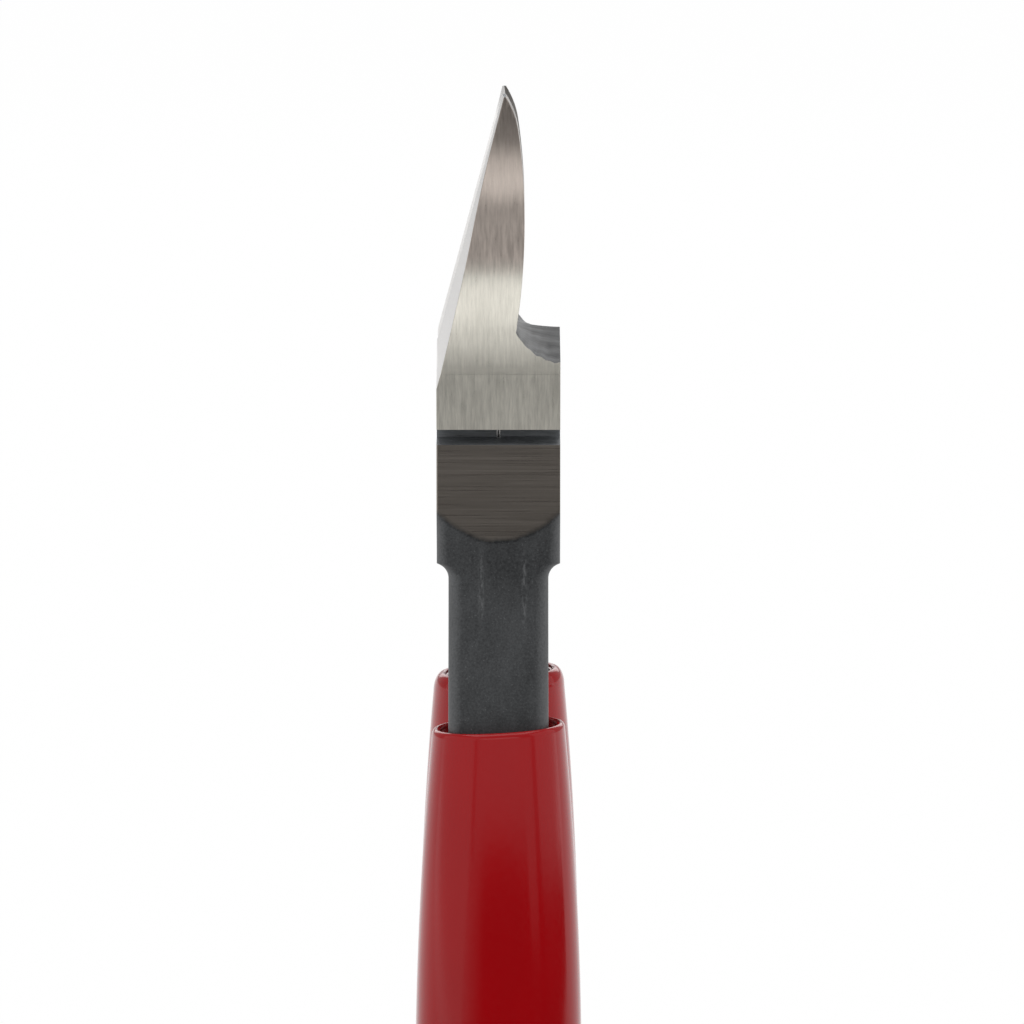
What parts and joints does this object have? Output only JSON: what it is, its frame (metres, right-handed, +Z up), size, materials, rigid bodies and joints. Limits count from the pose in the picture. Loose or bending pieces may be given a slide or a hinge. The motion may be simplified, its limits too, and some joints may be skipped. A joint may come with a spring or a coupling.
{
  "type": "gate cutter",
  "caption": "Hand nipper for trimming moulding gates: crossed forged levers on a slotted pivot screw, narrow flush-cutting jaws, a coil return spring and red sleeve grips.",
  "frame": {"origin": "ground point midway between the grip ends, under the pivot", "axes": "+Z up along the tool to the tip, +X along the pivot axis towards the flush side of the jaws, Y across the handles with -Y the front handle"},
  "size_m": [0.0136, 0.0576, 0.1501],
  "materials": {
    "lever_steel": "ground and lengthwise brushed jaws, cross-ground shoulder flats, black oxide on the forged shanks",
    "pivot_steel": "turned and faced flush",
    "spring_steel": "drawn spring wire",
    "red_sleeve": "smooth glossy dipped vinyl"
  },
  "bodies": {
    "rear_half": {"rear_lever": "lever_steel", "rear_grip": "red_sleeve", "pivot_screw": "pivot_steel", "pivot_nut": "pivot_steel", "return_spring": "spring_steel"},
    "front_half": {"front_lever": "lever_steel", "front_grip": "red_sleeve"}
  },
  "joints": [
    {"name": "jaw_pivot", "type": "hinge", "parent": "rear_half", "child": "front_half", "pos_m": [0, 0, 0.123], "axis": [-1, 0, 0], "range_deg": [-10.4, 7.2], "stiffness_Nm_per_rad": 0.8, "deforming": ["return_spring"]}
  ]
}
